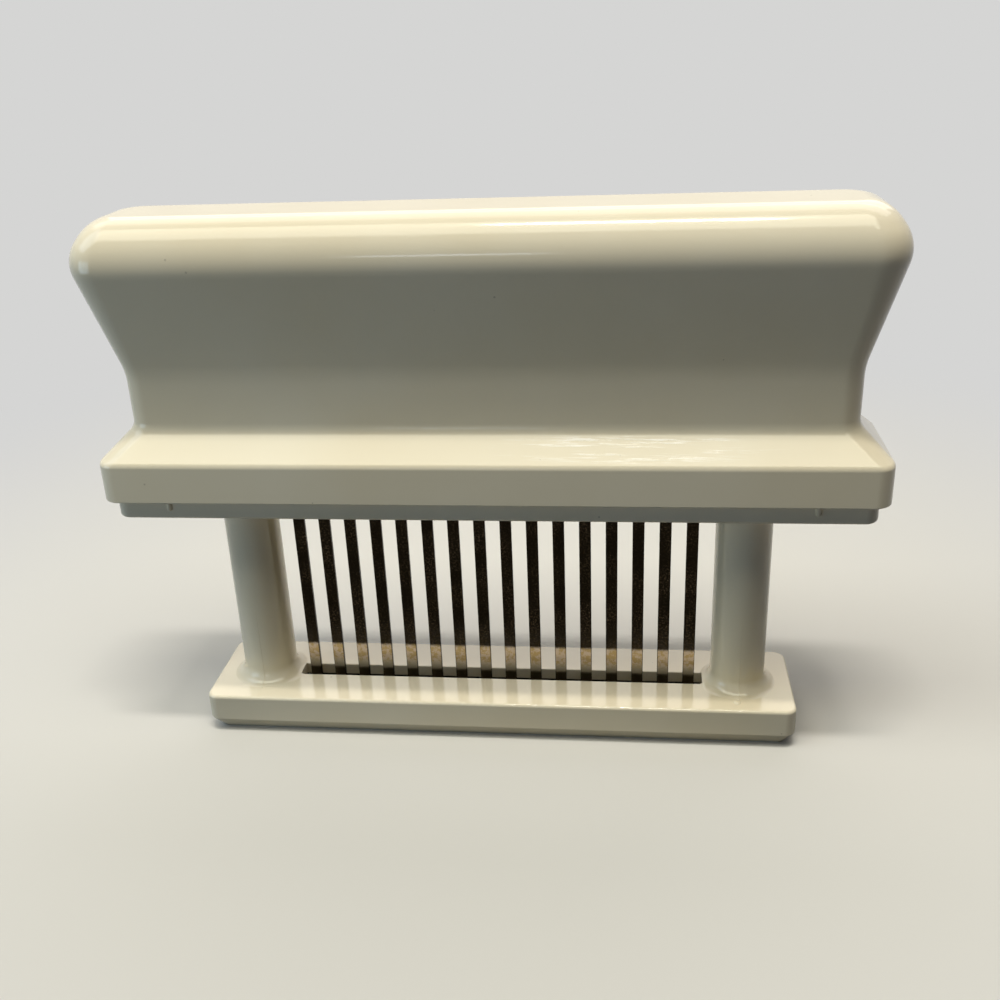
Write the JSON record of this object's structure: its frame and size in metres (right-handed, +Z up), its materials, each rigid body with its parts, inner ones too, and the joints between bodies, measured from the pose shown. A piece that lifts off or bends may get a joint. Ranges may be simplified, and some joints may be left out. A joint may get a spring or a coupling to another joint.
{
  "type": "blade meat tenderizer",
  "caption": "Hand-pressed single-row blade meat tenderizer: a sprung grip handle slides on two columns and drives its blades through a slotted press plate.",
  "frame": {"origin": "middle of the press plate's flat underside", "axes": "+X along the row of blades, +Y to the back, +Z up along the handle's travel"},
  "size_m": [0.1404, 0.0254, 0.1005],
  "materials": {
    "cream_plastic": "glossy moulded ABS, cream",
    "inner_plastic": "moulded acetal, off-white",
    "blade_steel": "rolled stainless strip, ground bright, faintly stained",
    "spring_steel": "drawn stainless wire and stamped stainless strip"
  },
  "bodies": {
    "base": {"press_plate": "cream_plastic", "left_spring": "spring_steel", "right_spring": "spring_steel", "left_stop_clip": "spring_steel", "right_stop_clip": "spring_steel"},
    "handle": {"handle_housing": "cream_plastic", "cover_plate": "cream_plastic", "blade_holder": "inner_plastic", "blade_clamp_bar": "inner_plastic", "blade_01": "blade_steel", "blade_02": "blade_steel", "blade_03": "blade_steel", "blade_04": "blade_steel", "blade_05": "blade_steel", "blade_06": "blade_steel", "blade_07": "blade_steel", "blade_08": "blade_steel", "blade_09": "blade_steel", "blade_10": "blade_steel", "blade_11": "blade_steel", "blade_12": "blade_steel", "blade_13": "blade_steel", "blade_14": "blade_steel", "blade_15": "blade_steel", "blade_16": "blade_steel"}
  },
  "joints": [
    {"name": "handle_press", "type": "slide", "parent": "base", "child": "handle", "axis": [0, 0, 1], "range_m": [-0.0355, 0], "stiffness_N_per_m": 1350, "springref_m": 0.006, "deforming": ["left_spring", "right_spring"]}
  ]
}
